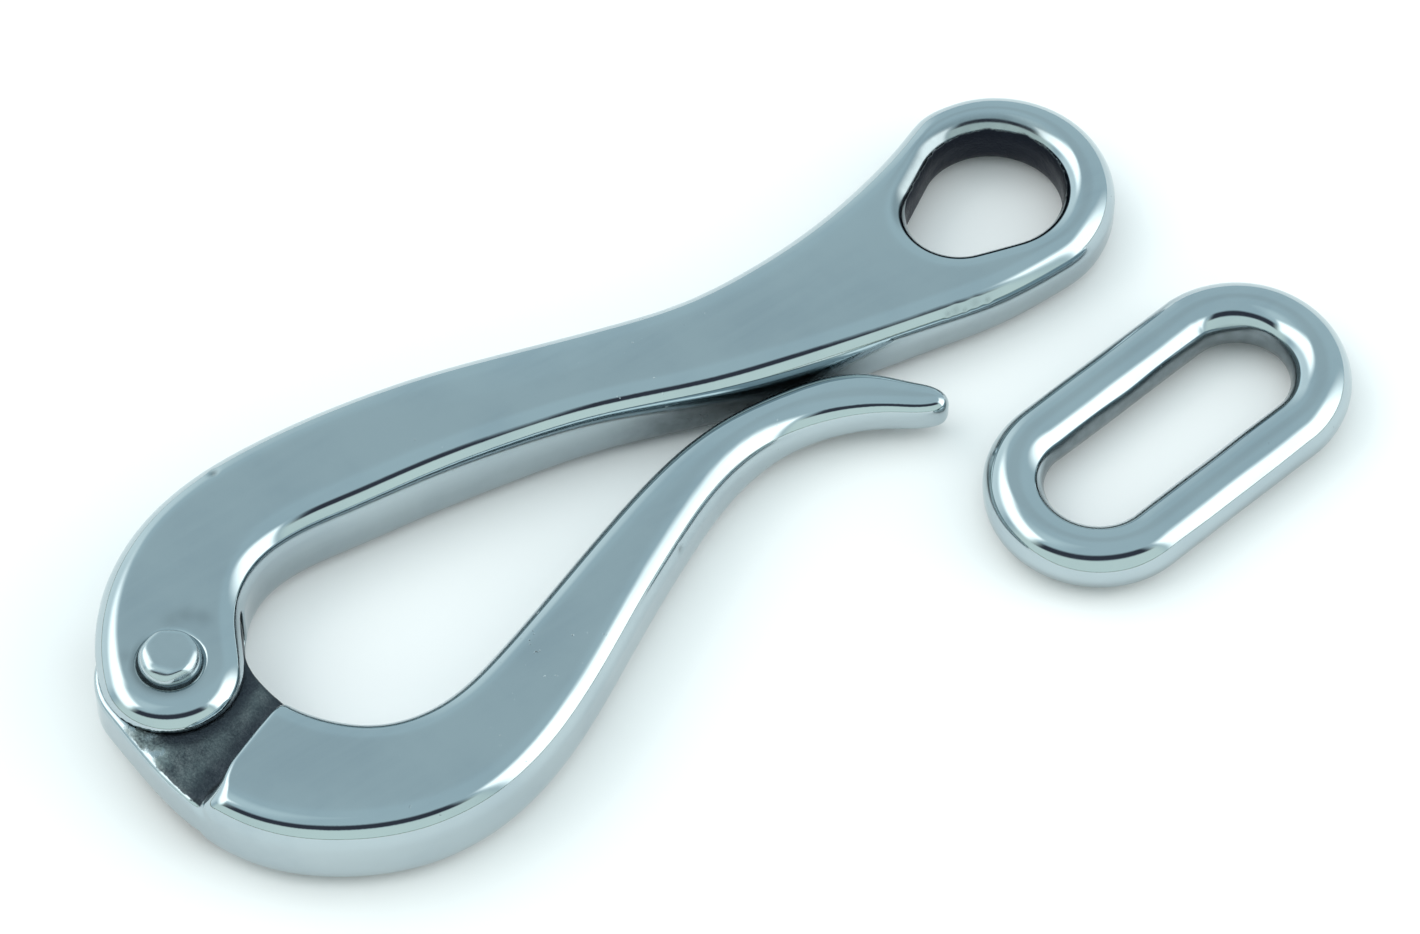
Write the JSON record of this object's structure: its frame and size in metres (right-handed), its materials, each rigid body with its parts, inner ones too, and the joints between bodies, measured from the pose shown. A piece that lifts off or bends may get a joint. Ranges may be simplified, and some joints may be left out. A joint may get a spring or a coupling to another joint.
{
  "type": "pelican hook",
  "caption": "Quick-release pelican hook of polished cast stainless steel: an arm with an eye, a hinged hook lever, a pivot rivet and an oblong locking link.",
  "frame": {"origin": "centre of the eye's hole, on the plane of the arm's back face", "axes": "+X from the pivot towards the eye, along the length; +Z out of the front face, along the pivot; the assembly lies on its back on z = 0"},
  "size_m": [0.1238, 0.0607, 0.0112],
  "materials": {
    "polished_casting": "cast stainless steel, polished to a mirror, with soft edges",
    "rivet_steel": "stainless steel, peened and polished",
    "link_steel": "welded round stainless bar, polished"
  },
  "bodies": {
    "arm": {"fixed_arm": "polished_casting", "pivot_rivet": "rivet_steel"},
    "lever": {"hook_lever": "polished_casting"},
    "link": {"locking_link": "link_steel"}
  },
  "joints": [
    {"name": "lever_hinge", "type": "hinge", "parent": "arm", "child": "lever", "pos_m": [-0.0971, -0.0012, 0.0049], "axis": [0, 0, -1], "range_deg": [0, 125]},
    {"name": "link_lift", "type": "slide", "parent": "arm", "child": "link", "axis": [0, 0, 1], "range_m": [0, 0.03]}
  ]
}
